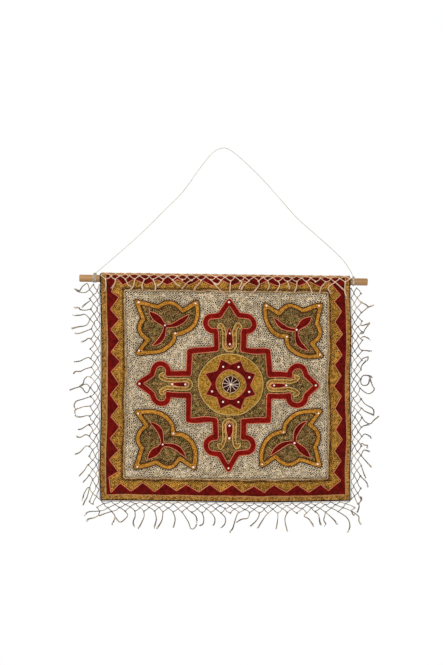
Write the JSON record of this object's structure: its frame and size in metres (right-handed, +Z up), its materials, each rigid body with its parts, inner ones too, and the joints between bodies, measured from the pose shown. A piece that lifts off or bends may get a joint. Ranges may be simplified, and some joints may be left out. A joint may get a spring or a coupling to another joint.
{
  "type": "wall tapestry on rod",
  "caption": "Embroidered square wall hanging with a netted, tasselled edging, on a wooden rod with a hanging string.",
  "frame": {"origin": "top of the hanging string, where it lies on the hook", "axes": "+X along the rod to the viewer's right, -Y out of the embroidered face, +Z up"},
  "size_m": [0.7326, 0.0276, 0.9249],
  "materials": {
    "wood": "bare pale wood, lightly sanded",
    "embroidered_cloth": "close rows of chain stitch on a dark cotton ground",
    "edging_yarn": "twisted undyed cotton yarn, slightly fuzzy",
    "string": "thin white cotton string"
  },
  "bodies": {
    "root": {"rod": "wood", "cloth": "embroidered_cloth", "fringe_left": "edging_yarn", "fringe_right": "edging_yarn", "fringe_bottom": "edging_yarn", "fringe_top": "edging_yarn", "hanging_string": "string", "string_knot_left": "string", "string_knot_right": "string"}
  },
  "joints": []
}
